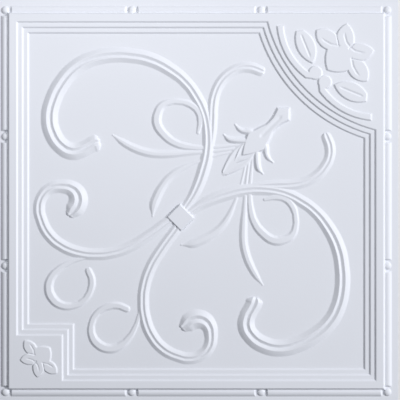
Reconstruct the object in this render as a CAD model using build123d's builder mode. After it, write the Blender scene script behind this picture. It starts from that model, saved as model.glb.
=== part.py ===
from build123d import *
from math import atan, ceil, degrees, inf, radians, sqrt
from numpy import interp, linspace
import os

os.makedirs("parts", exist_ok=True)

# Sheet: cut to drop into a ceiling grid of nominal 610 mm modules
tile_side = 603.0
sheet_thickness = 0.75

# Edge moulding, measured in from the edge of the sheet
rod_inset = 16.2
rod_width = 12.6
rod_height = 3.0
rod_end_angle = 60.0
bead_diameter = 10.4
bead_height = 2.6
bead_sides = 8
bead_draft = 40.0
bead_offset = 96.5
bead_clearance = 7.6

# Raised border and the three steps down to the panel
border_inset = 22.6
border_wall = 3.2
step_inset = 33.9
step_pitch = 7.9
step_height = 2.0
step_wall = 1.6
step_count = 3

# Corner fields: an arc at the top right, a square notch at the bottom left
arc_radius = 224.0
arc_centre_beyond = 22.0
notch_side = 67.6

# Ornament: relief of each kind of form
ridge_rise = 0.15
bud_rise = 0.28
outer_leaf_top = 2.0
inner_leaf_top = 2.7
bud_top = 3.4
dip_width = 8.0
leaf_rise = 2.0
leaf_draft = 40.0
vein_depth = 1.1
vein_width = 4.6
vein_end = 0.6
flower_inset = 90.7
small_flower_scale = 0.64
small_leaf_rise = 1.6
small_vein_depth = 0.8
small_flower_inset = 73.5
head_radius = 10.8
ribbon_length = 27.5
ribbon_width = 31.5
ribbon_rise = 3.6
ribbon_draft = 50.0

# The scrolls are drawn for a panel of this side and spread with the panel
pattern_side = 503.6
ribbon_spot = -23.0

# A strand's end runs down into the sheet over this length, narrowed to this share of its width,
# with its crests and valleys sunk by these shares of the root
nose_length = 4.0
nose_width = 0.45
nose_crest = 0.3
nose_valley = 0.7

# A strand is faceted along its length, and a facet strays this far from the curve
facet_sag = 0.5
fine_steps = 120

# The mould behind the face: how deep forms are rooted, and its spare margin
root = 1.2
mould_depth = 12.0
mould_margin = 30.0
cutting_height = 48.0

half_side = tile_side / 2
border_rise = step_height * step_count
panel_side = tile_side - 2 * (step_inset + (step_count - 1) * step_pitch)
spread = panel_side / pattern_side
diagonal = Plane(origin=(0, 0, 0), z_dir=(1, -1, 0))

# Cross-sections of a strand: share of the half width across, share of the height up
double_ridge = [(-0.36, 1.0), (0.04, 0.52), (0.4, 0.95)]
flat_top = [(-0.5, 1.0), (0.5, 1.0)]
narrow_top = [(-0.3, 1.0), (0.3, 1.0)]
dished = [(-0.78, 1.0), (-0.42, 0.5), (0.42, 0.5), (0.78, 1.0)]


def section(plane, width, height, profile):
    half = width / 2
    crests = [(across * half, up * height) for across, up in profile]
    left_spur = root * (half + crests[0][0]) / crests[0][1]
    right_spur = root * (half - crests[-1][0]) / crests[-1][1]
    with BuildSketch(plane) as cut:
        with BuildLine():
            Polyline((-half - left_spur, -root), *crests, (half + right_spur, -root), close=True)
        make_face()
    return cut.sketch


def nose(plane, width, profile):
    half = width / 2
    sunk = [-root * (nose_valley + up * (nose_crest - nose_valley)) for across, up in profile]
    crests = [(across * half, depth) for (across, up), depth in zip(profile, sunk)]
    with BuildSketch(plane) as cut:
        with BuildLine():
            Polyline((-half - root, -root), *crests, (half + root, -root), close=True)
        make_face()
    return cut.sketch


# Places along a curve, as shares of its length, so that the chords between them stray by the facet sag
def facet_marks(curve):
    fine = linspace(0, 1, fine_steps + 1)
    tangents = [curve.tangent_at(mark) for mark in fine]
    run = curve.length / fine_steps
    facets = [0.0]
    for before, after in zip(tangents, tangents[1:]):
        turn = radians(before.get_angle(after))
        facets.append(facets[-1] + sqrt(run * turn / (8 * facet_sag)))
    return interp(linspace(0, facets[-1], ceil(facets[-1]) + 1), facets, fine)


# Relief strand through (x, y, width) stations, its height a share of its width up to the top given
def strand(stations, profile, rise=ridge_rise, top=inf, straight=False):
    with BuildLine() as line:
        Spline(*[(x, y) for x, y, width in stations])
    curve = line.edges()[0]
    spots = [curve.param_at_point(Vector(x, y, 0)) for x, y, width in stations]
    widths = [width for x, y, width in stations]
    marks = spots if straight else facet_marks(curve)
    planes = []
    for mark in marks:
        along = curve.tangent_at(mark)
        across = Vector(0, 0, 1).cross(along)
        planes.append(Plane(origin=curve.position_at(mark), x_dir=across, z_dir=along))
    cuts = [nose(planes[0].offset(-nose_length), nose_width * widths[0], profile)]
    for plane, mark in zip(planes, marks):
        width = interp(mark, spots, widths)
        cuts.append(section(plane, width, min(top, rise * width), profile))
    cuts.append(nose(planes[-1].offset(nose_length), nose_width * widths[-1], profile))
    with BuildPart() as body:
        loft(cuts, ruled=True)
    return body.part


def scroll(stations, profile, rise=ridge_rise, top=inf, straight=False):
    drawn = [(x * spread, y * spread, width) for x, y, width in stations]
    return strand(drawn, profile, rise, top, straight)


# Flat-topped form with sloping walls on a closed outline: a start, an arc's middle or None, the next start
def plateau(outline, rise):
    starts = outline[0::2]
    middles = outline[1::2]
    ends = starts[1:] + starts[:1]
    with BuildPart() as body:
        with BuildSketch():
            with BuildLine():
                for start, middle, end in zip(starts, middles, ends):
                    if middle:
                        ThreePointArc(start, middle, end)
                    else:
                        Line(start, end)
            make_face()
        extrude(amount=rise, taper=leaf_draft)
    return body.part


# Cutter for a vein: a V groove through the points, running out at both ends
def groove(points, width, depth, level):
    with BuildLine() as line:
        Spline(*points)
    curve = line.edges()[0]
    flare = width / 2 * (1 + root / depth)
    bottoms = [vein_end, *[-depth] * (len(points) - 2), vein_end]
    cuts = []
    for (x, y), bottom in zip(points, bottoms):
        along = curve.tangent_at(curve.param_at_point(Vector(x, y, 0)))
        plane = Plane(origin=(x, y, level), x_dir=Vector(0, 0, 1).cross(along), z_dir=along)
        with BuildSketch(plane) as cut:
            with BuildLine():
                Polyline((-flare, root), (0, bottom), (flare, root), close=True)
            make_face()
        cuts.append(cut.sketch)
    with BuildPart() as body:
        loft(cuts, ruled=True)
    return body.part


def scaled(points, scale):
    return [point and (point[0] * scale, point[1] * scale) for point in points]


# Flower round its own middle, facing up the diagonal: a cushion, side petals, end petals and their veins
cushion = [
    (-16.6, -16.6), (0, -19.8), (16.6, -16.6), (19.8, 0),
    (16.6, 16.6), (0, 19.8), (-16.6, 16.6), (-19.8, 0),
]
petal_foot = (4.0, 4.0)
side_petal = [
    (-33.0, 44.0), (-32.3, 30.0), (-15.0, 13.4), None, petal_foot, None, (-2.0, 36.2), (-15.5, 45.4),
]
end_petal = [petal_foot, None, (23.9, 23.9), (22.0, 43.0), (13.5, 54.0), (1.0, 44.8), (-3.2, 35.5), None]
side_vein = [(-30.3, 36.3), (-20.1, 27.4), (-10.7, 22.0), (-0.8, 20.2), (8.5, 19.8)]
end_vein = [(9.8, 45.0), (9.8, 34.5), (12.3, 25.3), (17.8, 17.8), (25.3, 12.3), (34.5, 9.8), (45.0, 9.8)]


def flower(scale, rise, depth):
    petals = [plateau(scaled(outline, scale), rise) for outline in (side_petal, end_petal)]
    left_vein = groove(scaled(side_vein, scale), vein_width * scale, depth, rise)
    shared_vein = groove(scaled(end_vein, scale), vein_width * scale, depth, rise)
    with BuildPart() as body:
        add(plateau(scaled(cushion, scale), rise))
        add(petals)
        add([petal.mirror(diagonal) for petal in petals])
        add([left_vein, left_vein.mirror(diagonal), shared_vein], mode=Mode.SUBTRACT)
    return body.part


# Leaf and comma on the arc's field, as insets from the top right corner
corner_leaf = [(153.6, 47.8), (153.2, 72.4), (128.0, 97.6), (123.2, 72.0), (142.0, 46.9), None]
leaf_vein = [(147.4, 50.0), (144.6, 57.0), (139.5, 69.7), (133.4, 84.5), (130.2, 92.2)]
head_place = (124.5, 110.5)
comma = [
    (182.4, 40.5), (168.0, 86.8), (139.3, 118.9), None, (121.5, 121.0), None,
    (131.3, 110.9), (161.5, 77.0), (171.3, 40.5), None,
]

# Scrolls on the upper left half of the panel, from the ribbon or the bud outwards
big_scroll = [
    (-20, -14, 12), (-12, -3, 13), (-0.7, 16.4, 17), (10.5, 46.3, 19), (17, 76, 18), (17, 106, 17),
    (11.5, 133, 16.5), (0, 156.5, 17.5), (-15, 177, 18), (-39, 196.5, 20), (-69, 211.5, 21.5),
    (-99, 217.5, 22), (-128.6, 218, 22.5), (-158.5, 211.5, 23), (-181, 199, 23.5), (-200, 178, 24.5),
    (-214, 151, 25), (-219.5, 124, 25), (-214, 99.5, 25.5), (-202.5, 83, 25), (-187, 74.5, 25.5),
    (-172, 76.2, 24), (-160, 82.3, 23.5), (-153, 86, 24.5), (-149.3, 86.8, 25),
]
side_curl = [
    (13, 45, 6), (18.5, 72, 10), (22.5, 98, 14), (24, 121, 15.5), (24.7, 143.5, 16), (29, 163, 15.5),
    (38.5, 180.5, 16), (52, 192.5, 16), (66, 199, 15.5), (81, 199.5, 16.4), (97, 194, 15),
]
low_scroll = [
    (-30, -22, 15), (-43, -31, 16), (-69, -50, 16.5), (-98.7, -68, 17), (-128.6, -77.7, 17),
    (-151, -79.5, 17), (-173.4, -77, 17.5), (-200, -67, 18), (-221, -49, 18), (-231.5, -28, 17.5),
    (-235, -10.5, 17.5), (-230, 7.5, 17), (-218, 19, 18), (-200, 22, 20), (-185, 18, 24), (-177, 7.5, 28),
    (-178, -6, 28), (-183.5, -13.5, 26), (-187.5, -18.5, 18),
]
small_curl = [
    (-150, -80, 5), (-167.4, -84.5, 6), (-188, -91, 7.5), (-206, -102, 10.5), (-217, -115, 13),
    (-220.5, -130, 14.6), (-214, -146.5, 15), (-200, -156, 13), (-184, -156.5, 10.5), (-169, -149.5, 10),
    (-158, -133, 11), (-156, -118, 11.5), (-161, -104, 11),
]
loop_stem = [
    (62, 84, 4), (22.4, 80, 5), (-9, 80.7, 10), (-31.4, 86.7, 12.5), (-49, 100, 14), (-59, 117, 15),
    (-57.5, 132, 14), (-51, 143, 12), (-37, 148.5, 9.5), (-21, 148, 9.5), (-7, 143, 11), (3, 133, 11),
    (6, 119.6, 10.3), (3, 104, 6),
]
upper_stem = [
    (62, 79, 4), (22.4, 74, 5), (-12, 72, 8), (-36, 70.5, 12), (-60, 70.5, 13), (-79, 74, 13.5),
    (-97, 81, 12.7), (-112, 89.5, 10), (-123, 97.5, 3.5),
]
lower_stem = [
    (62, 75, 3.5), (22.4, 66, 4), (-4.5, 56.5, 6), (-24, 47.5, 10), (-39, 36.6, 12), (-50.5, 22.4, 13.5),
    (-58.5, 7.5, 15), (-64, -7.5, 13), (-65, -20, 4),
]
upper_sepal = [(59.8, 112.5, 4), (64, 107.8, 7.5), (70.6, 104.6, 9), (79, 103.5, 11), (88, 100, 11)]
lower_sepal = [(43, 97.5, 4), (47.5, 93.4, 9), (55, 91.2, 10.5), (66, 90.3, 10.5), (75, 90, 10)]

strands = [scroll(stations, double_ridge) for stations in (big_scroll, side_curl, low_scroll)]
strands += [scroll(stations, flat_top) for stations in (small_curl, loop_stem)]
strands += [scroll(stations, narrow_top) for stations in (upper_stem, lower_stem)]
for stations in (upper_sepal, lower_sepal):
    strands.append(scroll(stations, narrow_top, bud_rise, straight=True))
mirrored_strands = [form.mirror(diagonal) for form in strands]

# Bud along the diagonal: two leaves, as (place on each axis, width), under the body with its flared tip
outer_leaf = [(40.5, 5), (42, 9.4), (50.3, 20.2), (58.7, 28.8), (66.3, 33), (73.9, 30.8), (82, 24)]
inner_leaf = [(57.5, 3), (59, 6), (64, 13.6), (70.5, 23.4), (75.8, 27.8), (84, 26)]
bud_outline = [
    (110.0, 117.8), None, (103.0, 115.6), (89.5, 109.3), (75.5, 101.5), (69.4, 84.5), (66.3, 66.3),
    (84.5, 69.4), (101.5, 75.5), (109.3, 89.5), (115.6, 103.0), None, (117.8, 110.0), None,
]
tip_outline = [
    (140.3, 140.3), None, (120.0, 140.3), (113.6, 127.0), (103.0, 115.6), None, (92.0, 104.0), None,
    (104.0, 92.0), None, (115.6, 103.0), (127.0, 113.6), (140.3, 120.0), None,
]
bud_dip = [(92, 92), (98, 98), (112, 112), (124, 124), (131, 131)]
bud = []
for stations, top in ((outer_leaf, outer_leaf_top), (inner_leaf, inner_leaf_top)):
    along_diagonal = [(place, place, width) for place, width in stations]
    bud.append(scroll(along_diagonal, dished, bud_rise, top, straight=True))
with BuildPart() as bud_body:
    add(plateau(scaled(bud_outline, spread), bud_top))
    add(plateau(scaled(tip_outline, spread), bud_top))
    add(groove(scaled(bud_dip, spread), dip_width, vein_depth, bud_top), mode=Mode.SUBTRACT)
bud.append(bud_body.part)

ribbon_centre = ribbon_spot * spread
ribbon_plane = Plane(origin=(ribbon_centre, ribbon_centre, -root), x_dir=(1, 1, 0), z_dir=(0, 0, 1))
with BuildPart() as ribbon:
    with BuildSketch(ribbon_plane):
        Rectangle(ribbon_length, ribbon_width)
    extrude(amount=ribbon_rise + root, taper=ribbon_draft)
bud.append(ribbon.part)


def from_corner(points):
    return [point and (half_side - point[0], half_side - point[1]) for point in points]


with BuildPart() as curled_comma:
    add(plateau(from_corner(comma), leaf_rise))
    with BuildSketch():
        with Locations(from_corner([head_place])):
            Circle(head_radius)
    extrude(amount=leaf_rise, taper=leaf_draft)

with BuildPart() as veined_leaf:
    add(plateau(from_corner(corner_leaf), leaf_rise))
    add(groove(from_corner(leaf_vein), vein_width, vein_depth, leaf_rise), mode=Mode.SUBTRACT)

flower_spot = half_side - flower_inset
small_spot = half_side - small_flower_inset
corner_forms = [veined_leaf.part, curled_comma.part]
corner_forms += [form.mirror(diagonal) for form in corner_forms]
corner_forms.append(Pos(flower_spot, flower_spot) * flower(1.0, leaf_rise, vein_depth))
small_flower = flower(small_flower_scale, small_leaf_rise, small_vein_depth)
corner_forms.append(Pos(-small_spot, -small_spot) * Rot(0, 0, 180) * small_flower)
corner_forms = [Pos(0, 0, border_rise) * form for form in corner_forms]

# Rods and beads along the four sides
rod_line = half_side - rod_inset
rod_radius = (rod_width**2 / 4 + rod_height**2) / (2 * rod_height)
middle_length = 2 * (bead_offset - bead_clearance)
outer_length = rod_line - bead_offset - 2 * bead_clearance
outer_middle = (rod_line + bead_offset) / 2


def rod(middle, length):
    with BuildPart() as body:
        with BuildSketch(Plane.YZ.offset(-length / 2)):
            with Locations((0, rod_height - rod_radius)):
                Circle(rod_radius)
        extrude(amount=length)
        with BuildSketch(Plane.XZ):
            with Locations((0, -root)):
                Trapezoid(length, rod_height + root, rod_end_angle, align=(Align.CENTER, Align.MIN))
        extrude(amount=rod_width, both=True, mode=Mode.INTERSECT)
    return Pos(middle, rod_line) * body.part


def bead(place):
    with BuildPart() as body:
        with BuildSketch():
            RegularPolygon(bead_diameter / 2, bead_sides)
        extrude(amount=bead_height, taper=bead_draft)
    return Pos(place, rod_line) * body.part


side_forms = [rod(0, middle_length), rod(-outer_middle, outer_length), rod(outer_middle, outer_length)]
side_forms += [bead(place) for place in (-bead_offset, bead_offset, rod_line)]
side_forms = [Rot(0, 0, 90 * turn) * form for turn in range(4) for form in side_forms]

# The face as a solid mould: rim and panel level, border, steps and every raised form
wall_draft = degrees(atan(border_wall / border_rise))
step_draft = degrees(atan(step_wall / step_height))
with BuildPart() as mould:
    with Locations((0, 0, -mould_depth)):
        mould_side = tile_side + 2 * mould_margin
        Box(mould_side, mould_side, mould_depth, align=(Align.CENTER, Align.CENTER, Align.MIN))
    with BuildSketch(Plane.XY):
        border_side = tile_side - 2 * (border_inset - border_wall)
        Rectangle(border_side, border_side)
    extrude(amount=border_rise, taper=wall_draft)
    for step in range(step_count):
        inset = step_inset + step * step_pitch
        outline = half_side - inset
        with BuildSketch(Plane.XY.offset(border_rise - step * step_height)):
            Rectangle(2 * outline, 2 * outline)
            arc_centre = half_side + arc_centre_beyond
            with Locations((arc_centre, arc_centre)):
                Circle(arc_radius + step * step_pitch, mode=Mode.SUBTRACT)
            with Locations((-outline, -outline)):
                Rectangle(2 * notch_side, 2 * notch_side, mode=Mode.SUBTRACT)
        extrude(amount=-step_height, taper=step_draft, mode=Mode.SUBTRACT)
    for group in (side_forms, corner_forms, strands, mirrored_strands, bud):
        add(group)

# The vinyl is drawn straight down over the mould, so its back is the same face one thickness lower
with BuildPart() as ceiling_tile:
    add(Pos(0, 0, sheet_thickness) * mould.part)
    Box(tile_side, tile_side, cutting_height, mode=Mode.INTERSECT)
    add(mould.part, mode=Mode.SUBTRACT)

ceiling_tile.part.label = "ceiling_tile"
export_step(ceiling_tile.part, "parts/ceiling_tile.step")
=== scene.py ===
import bmesh
import bpy
import math
from mathutils import Matrix, Vector


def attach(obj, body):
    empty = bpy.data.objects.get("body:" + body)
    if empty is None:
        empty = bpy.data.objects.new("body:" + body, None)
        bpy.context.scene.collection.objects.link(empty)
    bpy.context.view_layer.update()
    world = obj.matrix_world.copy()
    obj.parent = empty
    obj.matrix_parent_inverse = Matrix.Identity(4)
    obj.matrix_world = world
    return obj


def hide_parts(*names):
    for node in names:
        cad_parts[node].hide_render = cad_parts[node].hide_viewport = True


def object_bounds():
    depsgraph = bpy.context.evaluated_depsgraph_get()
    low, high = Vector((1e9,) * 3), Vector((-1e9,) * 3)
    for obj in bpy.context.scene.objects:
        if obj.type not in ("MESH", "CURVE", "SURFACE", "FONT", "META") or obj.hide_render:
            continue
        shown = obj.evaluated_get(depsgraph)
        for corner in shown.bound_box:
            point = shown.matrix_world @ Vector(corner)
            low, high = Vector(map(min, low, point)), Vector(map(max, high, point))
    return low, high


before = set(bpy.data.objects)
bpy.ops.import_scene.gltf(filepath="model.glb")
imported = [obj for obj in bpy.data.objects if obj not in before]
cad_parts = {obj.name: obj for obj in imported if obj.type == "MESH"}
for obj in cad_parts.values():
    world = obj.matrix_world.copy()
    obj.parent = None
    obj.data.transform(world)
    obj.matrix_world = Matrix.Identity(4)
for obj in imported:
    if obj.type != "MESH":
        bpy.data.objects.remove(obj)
cadLow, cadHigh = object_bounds()
print("frame loaded, tile", [round(value, 4) for value in cadHigh - cadLow])

scene = bpy.context.scene
scene.view_settings.view_transform = 'Standard'
mm = 0.001


def linkNew(name, data):
    made = bpy.data.objects.new(name, data)
    scene.collection.objects.link(made)
    return made


def nodeTree(name):
    material = bpy.data.materials.new(name)
    material.use_nodes = True
    tree = material.node_tree
    return material, tree, tree.nodes["Principled BSDF"]


def dropPiece(piece, store):
    data = piece.data
    bpy.data.objects.remove(piece)
    store.remove(data)


def wire(tree, fromNode, fromSocket, toNode, toSocket):
    tree.links.new(fromNode.outputs[fromSocket], toNode.inputs[toSocket])


# vinyl: white, satin, with the faint orange peel of a formed sheet
vinyl = {
    "color": (0.79, 0.815, 0.89),
    "shade": (0.77, 0.795, 0.87),
    "cloudScale": 9.0,        # per metre, slow drift of the white
    "cloudDetail": 4,
    "peelScale": 420.0,       # per metre, orange peel
    "peelDetail": 2,
    "peelHeight": 0.00006,
    "roughness": (0.48, 0.58),
    "specular": 0.22,
}


def makeVinyl():
    material, tree, shader = nodeTree("whiteVinyl")
    place = tree.nodes.new('ShaderNodeTexCoord')
    cloud = tree.nodes.new('ShaderNodeTexNoise')
    cloud.inputs["Scale"].default_value = vinyl["cloudScale"]
    cloud.inputs["Detail"].default_value = vinyl["cloudDetail"]
    wire(tree, place, "Object", cloud, "Vector")
    tint = tree.nodes.new('ShaderNodeMix')
    tint.data_type = 'RGBA'
    tint.inputs[6].default_value = (*vinyl["shade"], 1)      # a mix node's colours go by number
    tint.inputs[7].default_value = (*vinyl["color"], 1)
    wire(tree, cloud, "Fac", tint, 0)
    wire(tree, tint, 2, shader, "Base Color")
    peel = tree.nodes.new('ShaderNodeTexNoise')
    peel.inputs["Scale"].default_value = vinyl["peelScale"]
    peel.inputs["Detail"].default_value = vinyl["peelDetail"]
    wire(tree, place, "Object", peel, "Vector")
    bump = tree.nodes.new('ShaderNodeBump')
    bump.inputs["Strength"].default_value = 1
    bump.inputs["Distance"].default_value = vinyl["peelHeight"]
    wire(tree, peel, "Fac", bump, "Height")
    wire(tree, bump, "Normal", shader, "Normal")
    gloss = tree.nodes.new('ShaderNodeMapRange')
    gloss.inputs["To Min"].default_value = vinyl["roughness"][0]
    gloss.inputs["To Max"].default_value = vinyl["roughness"][1]
    wire(tree, peel, "Fac", gloss, "Value")
    wire(tree, gloss, "Result", shader, "Roughness")
    shader.inputs["Specular IOR Level"].default_value = vinyl["specular"]
    return material


# strands: smooth ribs over the CAD's faceted ones, drawn for the upper left half
# a station is x, y and width in mm, a profile is across and up in half widths
strands = {
    "steps": 10,              # pieces between two stations
    "lift": 0.00012,          # enough to cover the facets
    "nose": [(3.2, 0.75, 0.0), (5.0, 0.4, 2.0)],      # mm past an end, share of the width, mm sunk
    "doubleRidge": {
        "profile": [(-1.2, -0.1), (-0.42, 0.3), (-0.1, 0.13), (0.34, 0.32), (0.7, 0.17), (1.2, -0.1)],
        "bigScroll": [
            (-20, -14, 12), (-12, -3, 13), (-0.7, 16.4, 17), (10.5, 46.3, 19), (17, 76, 18),
            (17, 106, 17), (11.5, 133, 16.5), (0, 156.5, 17.5), (-15, 177, 18), (-39, 196.5, 20),
            (-69, 211.5, 21.5), (-99, 217.5, 22), (-128.6, 218, 22.5), (-158.5, 211.5, 23),
            (-181, 199, 23.5), (-200, 178, 24.5), (-214, 151, 25), (-219.5, 124, 25),
            (-214, 99.5, 25.5), (-202.5, 83, 25), (-187, 74.5, 25.5), (-172, 76.2, 24),
            (-160, 82.3, 23.5), (-153, 86, 24.5), (-149.3, 86.8, 25),
        ],
        "sideCurl": [
            (13, 45, 6), (18.5, 72, 10), (22.5, 98, 14), (24, 121, 15.5), (24.7, 143.5, 16),
            (29, 163, 15.5), (38.5, 180.5, 16), (52, 192.5, 16), (66, 199, 15.5), (81, 199.5, 16.4),
            (97, 194, 15),
        ],
        "lowScroll": [
            (-30, -22, 15), (-43, -31, 16), (-69, -50, 16.5), (-98.7, -68, 17), (-128.6, -77.7, 17),
            (-151, -79.5, 17), (-173.4, -77, 17.5), (-200, -67, 18), (-221, -49, 18),
            (-231.5, -28, 17.5), (-235, -10.5, 17.5), (-230, 7.5, 17), (-218, 19, 18),
            (-200, 22, 20), (-185, 18, 24), (-177, 7.5, 28), (-178, -6, 28), (-183.5, -13.5, 26),
            (-187.5, -18.5, 18),
        ],
    },
    "flatTop": {
        "profile": [(-1.16, -0.12), (-0.5, 0.3), (0.5, 0.32), (1.16, -0.12)],
        "smallCurl": [
            (-150, -80, 5), (-167.4, -84.5, 6), (-188, -91, 7.5), (-206, -102, 10.5), (-217, -115, 13),
            (-220.5, -130, 14.6), (-214, -146.5, 15), (-200, -156, 13), (-184, -156.5, 10.5),
            (-169, -149.5, 10), (-158, -133, 11), (-156, -118, 11.5), (-161, -104, 11),
        ],
        "loopStem": [
            (62, 84, 4), (22.4, 80, 5), (-9, 80.7, 10), (-31.4, 86.7, 12.5), (-49, 100, 14),
            (-59, 117, 15), (-57.5, 132, 14), (-51, 143, 12), (-37, 148.5, 9.5), (-21, 148, 9.5),
            (-7, 143, 11), (3, 133, 11), (6, 119.6, 10.3), (3, 104, 6),
        ],
    },
    "narrowTop": {
        "profile": [(-1.2, -0.12), (-0.34, 0.32), (0.34, 0.32), (1.2, -0.12)],
        "upperStem": [
            (62, 79, 4), (22.4, 74, 5), (-12, 72, 8), (-36, 70.5, 12), (-60, 70.5, 13),
            (-79, 74, 13.5), (-97, 81, 12.7), (-112, 89.5, 10), (-123, 97.5, 3.5),
        ],
        "lowerStem": [
            (62, 75, 3.5), (22.4, 66, 4), (-4.5, 56.5, 6), (-24, 47.5, 10), (-39, 36.6, 12),
            (-50.5, 22.4, 13.5), (-58.5, 7.5, 15), (-64, -7.5, 13), (-65, -20, 4),
        ],
    },
    "sepal": {
        "profile": [(-1.2, -0.16), (-0.3, 0.56), (0.3, 0.56), (1.2, -0.16)],
        "upperSepal": [
            (59.8, 112.5, 4), (64, 107.8, 7.5), (70.6, 104.6, 9), (79, 103.5, 11), (88, 100, 11),
        ],
        "lowerSepal": [
            (43, 97.5, 4), (47.5, 93.4, 9), (55, 91.2, 10.5), (66, 90.3, 10.5), (75, 90, 10),
        ],
    },
}


def makeProfile(name, points):
    shape = bpy.data.curves.new(name, 'CURVE')
    line = shape.splines.new('POLY')
    line.points.add(len(points) - 1)
    for point, (across, up) in zip(line.points, points):
        point.co = (across, up, 0, 1)
    return linkNew(name, shape)


def noseTips(last, before):
    along = Vector((last[0] - before[0], last[1] - before[1])).normalized()
    tips = []
    for reach, share, sunk in strands["nose"]:
        tips.append((last[0] + along.x * reach, last[1] + along.y * reach, last[2] * share, sunk))
    return tips


def addNoses(stations):
    startTips = noseTips(stations[0], stations[1])
    endTips = noseTips(stations[-1], stations[-2])
    return [*reversed(startTips), *[(*station, 0) for station in stations], *endTips]


def sweepStrand(name, stations, profile, level):
    curve = bpy.data.curves.new(name, 'CURVE')
    curve.dimensions = '3D'
    curve.twist_mode = 'Z_UP'
    curve.bevel_mode = 'OBJECT'
    curve.bevel_object = profile
    curve.resolution_u = strands["steps"]
    path = curve.splines.new('BEZIER')
    path.radius_interpolation = 'CARDINAL'
    points = addNoses(stations)
    path.bezier_points.add(len(points) - 1)
    for point, (x, y, width, sunk) in zip(path.bezier_points, points):
        point.co = (x * mm, y * mm, level - sunk * mm)
        point.handle_left_type = 'AUTO'
        point.handle_right_type = 'AUTO'
        point.radius = width / 2 * mm
    rib = linkNew(name, curve)
    bpy.context.view_layer.update()
    shown = rib.evaluated_get(bpy.context.evaluated_depsgraph_get())
    mesh = bpy.data.meshes.new_from_object(shown)
    dropPiece(rib, bpy.data.curves)
    return mesh


# beads: round buttons between the rods, a third along each side and at the corners
beads = {"radius": 0.0056, "height": 0.0031, "inset": 0.0162, "offset": 0.0965, "segments": 32}


def addBeads(forms, level):
    line = cadHigh.x - beads["inset"]
    count = beads["segments"]
    dome = Matrix.Diagonal((beads["radius"], beads["radius"], beads["height"], 1))
    for quarter in range(4):
        turn = Matrix.Rotation(quarter * math.pi / 2, 4, 'Z')
        for along in (-beads["offset"], beads["offset"], line):
            place = turn @ Matrix.Translation((along, line, level)) @ dome
            bmesh.ops.create_uvsphere(forms, u_segments=count, v_segments=count, radius=1, matrix=place)


# ribbon: the square plate that holds the scrolls together
ribbon = {"place": (-0.0237, -0.0243), "along": 0.0295, "across": 0.0315, "height": 0.0037, "top": 0.9}


def addRibbon(forms, level):
    turn = Matrix.Rotation(math.pi / 4, 4, 'Z')
    block = Matrix.Diagonal((ribbon["along"], ribbon["across"], 2 * ribbon["height"], 1))
    place = Matrix.Translation((*ribbon["place"], level))
    made = bmesh.ops.create_cube(forms, size=1, matrix=place @ turn @ block)
    upper = [vert for vert in made["verts"] if vert.co.z > level]
    narrow = Matrix.Diagonal((ribbon["top"], ribbon["top"], 1, 1))
    bmesh.ops.transform(forms, matrix=narrow, space=place.inverted(), verts=upper)


def makeForms(level):
    forms = bmesh.new()
    for kind in ("doubleRidge", "flatTop", "narrowTop", "sepal"):
        ribs = dict(strands[kind])
        profile = makeProfile(kind, ribs.pop("profile"))
        for name, stations in ribs.items():
            mesh = sweepStrand(name, stations, profile, level + strands["lift"])
            forms.from_mesh(mesh)
            bpy.data.meshes.remove(mesh)
        dropPiece(profile, bpy.data.curves)
    twins = bmesh.ops.duplicate(forms, geom=forms.verts[:] + forms.edges[:] + forms.faces[:])
    twinVerts = [part for part in twins["geom"] if isinstance(part, bmesh.types.BMVert)]
    acrossDiagonal = Matrix(((0, 1, 0), (1, 0, 0), (0, 0, 1))).to_4x4()
    bmesh.ops.transform(forms, matrix=acrossDiagonal, verts=twinVerts)
    addBeads(forms, level)
    addRibbon(forms, level)
    mesh = bpy.data.meshes.new("reliefForms")
    forms.to_mesh(mesh)
    forms.free()
    return linkNew("reliefForms", mesh)


# formed sheet: a fine net draped on the mould's face, eased, thinned and given its thickness
sheet = {
    "cells": 900,             # net cells along a side
    "clearance": 0.01,        # height of the net above the tile before it drops
    "easePasses": 2,          # rounding that the warm vinyl leaves
    "easeFactor": 0.5,
    "thickness": 0.00075,
    "keep": 95000,            # triangles left on the face
    "sharpAngle": 60,         # degrees, past which an edge stays crisp
}


def applyModifiers(piece):
    shown = piece.evaluated_get(bpy.context.evaluated_depsgraph_get())
    done = bpy.data.meshes.new_from_object(shown)
    piece.modifiers.clear()
    old = piece.data
    piece.data = done
    bpy.data.meshes.remove(old)


def drapeNet(cadTile, forms):
    half = (cadHigh.x - cadLow.x) / 2
    cells = sheet["cells"]
    net = bmesh.new()
    bmesh.ops.create_grid(net, x_segments=cells, y_segments=cells, size=half)
    bmesh.ops.translate(net, verts=net.verts, vec=(0, 0, cadHigh.z + sheet["clearance"]))
    mesh = bpy.data.meshes.new("formedSheet")
    net.to_mesh(mesh)
    net.free()
    piece = linkNew("formedSheet", mesh)
    drape = piece.modifiers.new("drape", 'SHRINKWRAP')
    drape.target = cadTile
    drape.auxiliary_target = forms
    drape.wrap_method = 'PROJECT'
    drape.use_project_z = True
    drape.use_negative_direction = True
    drape.use_positive_direction = False
    ease = piece.modifiers.new("ease", 'SMOOTH')
    ease.factor = sheet["easeFactor"]
    ease.iterations = sheet["easePasses"]
    ease.use_x = False
    ease.use_y = False
    thin = piece.modifiers.new("thin", 'DECIMATE')
    thin.ratio = sheet["keep"] / (2 * cells ** 2)
    bpy.context.view_layer.update()
    applyModifiers(piece)
    print("sheet draped,", len(piece.data.polygons), "faces on the show side")
    return piece


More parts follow.
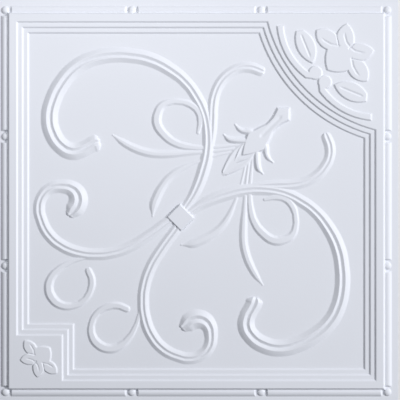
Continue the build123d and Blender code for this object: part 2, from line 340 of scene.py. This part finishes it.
def giveThickness(piece):
    shell = bmesh.new()
    shell.from_mesh(piece.data)
    low = min(vert.co.z for vert in shell.verts)
    high = max(vert.co.z for vert in shell.verts)
    print("relief from", round(low / mm, 2), "to", round(high / mm, 2), "mm")
    made = bmesh.ops.extrude_face_region(shell, geom=shell.faces[:], use_keep_orig=True)
    lower = [part for part in made["geom"] if isinstance(part, bmesh.types.BMVert)]
    bmesh.ops.translate(shell, verts=lower, vec=(0, 0, -sheet["thickness"]))
    bmesh.ops.recalc_face_normals(shell, faces=shell.faces[:])
    shell.to_mesh(piece.data)
    shell.free()
    piece.data.shade_smooth()
    piece.data.set_sharp_from_angle(angle=math.radians(sheet["sharpAngle"]))
    even = piece.modifiers.new("even", 'WEIGHTED_NORMAL')      # keeps streaks off the flats
    even.keep_sharp = True
    applyModifiers(piece)


forms = makeForms(cadLow.z + sheet["thickness"])
print("smooth forms made,", len(forms.data.polygons), "faces")
tile = drapeNet(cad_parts["ceiling_tile"], forms)
dropPiece(forms, bpy.data.meshes)
giveThickness(tile)
tile.data.materials.clear()
tile.data.materials.append(makeVinyl())
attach(tile, "root")
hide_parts("ceiling_tile")
print("formed sheet done")


# floor: plain and pale
floor = {"size": 6.0, "color": (0.8, 0.8, 0.8), "roughness": 0.9, "gap": 0.0002}


def makeFloor():
    flat = bmesh.new()
    bmesh.ops.create_grid(flat, x_segments=1, y_segments=1, size=floor["size"] / 2)
    bmesh.ops.translate(flat, verts=flat.verts, vec=(0, 0, cadLow.z - floor["gap"]))
    mesh = bpy.data.meshes.new("floor")
    flat.to_mesh(mesh)
    flat.free()
    piece = linkNew("floor", mesh)
    material, tree, shader = nodeTree("paleFloor")
    shader.inputs["Base Color"].default_value = (*floor["color"], 1)
    shader.inputs["Roughness"].default_value = floor["roughness"]
    mesh.materials.append(material)


makeFloor()

# light: a soft key from the right, a weak lamp above the upper left and a faint even fill
# azimuth from +X and zenith from straight up, in degrees, both lamps aimed at the tile's middle
light = {
    "key": {"azimuth": 10, "zenith": 53, "distance": 5.0, "size": 1.6, "power": 232},
    "side": {"azimuth": 118, "zenith": 35, "distance": 1.07, "size": 0.35, "power": 3.8},
    "sky": (0.93, 0.96, 1.0),
    "fill": 0.1,
}


def makeLamp(name):
    kind = light[name]
    lamp = bpy.data.lights.new(name, 'AREA')
    lamp.shape = 'DISK'
    lamp.size = kind["size"]
    lamp.energy = kind["power"]
    azimuth = math.radians(kind["azimuth"])
    zenith = math.radians(kind["zenith"])
    sideways = Vector((math.cos(azimuth), math.sin(azimuth), 0))
    toward = sideways * math.sin(zenith) + Vector((0, 0, math.cos(zenith)))
    lit = linkNew(name, lamp)
    lit.location = toward * kind["distance"]
    lit.rotation_euler = toward.to_track_quat('Z', 'Y').to_euler()


def makeSky():
    world = bpy.data.worlds.new("studio")
    world.use_nodes = True
    scene.world = world
    back = world.node_tree.nodes["Background"]
    back.inputs["Color"].default_value = (*light["sky"], 1)
    back.inputs["Strength"].default_value = light["fill"]


makeLamp("key")
makeLamp("side")
makeSky()

# camera: straight down on the face, a little right of the tile's middle
# width is what the frame takes in at the level of the back
view = {"center": (0.0055, 0.0017), "width": 0.598, "lens": 85}


def makeCamera():
    lens = bpy.data.cameras.new("overhead")
    lens.lens = view["lens"]
    height = view["width"] / 2 / math.tan(lens.angle / 2)
    eye = linkNew("overhead", lens)
    eye.location = (*view["center"], cadLow.z + height)
    scene.camera = eye


makeCamera()
print("floor, light and camera set")
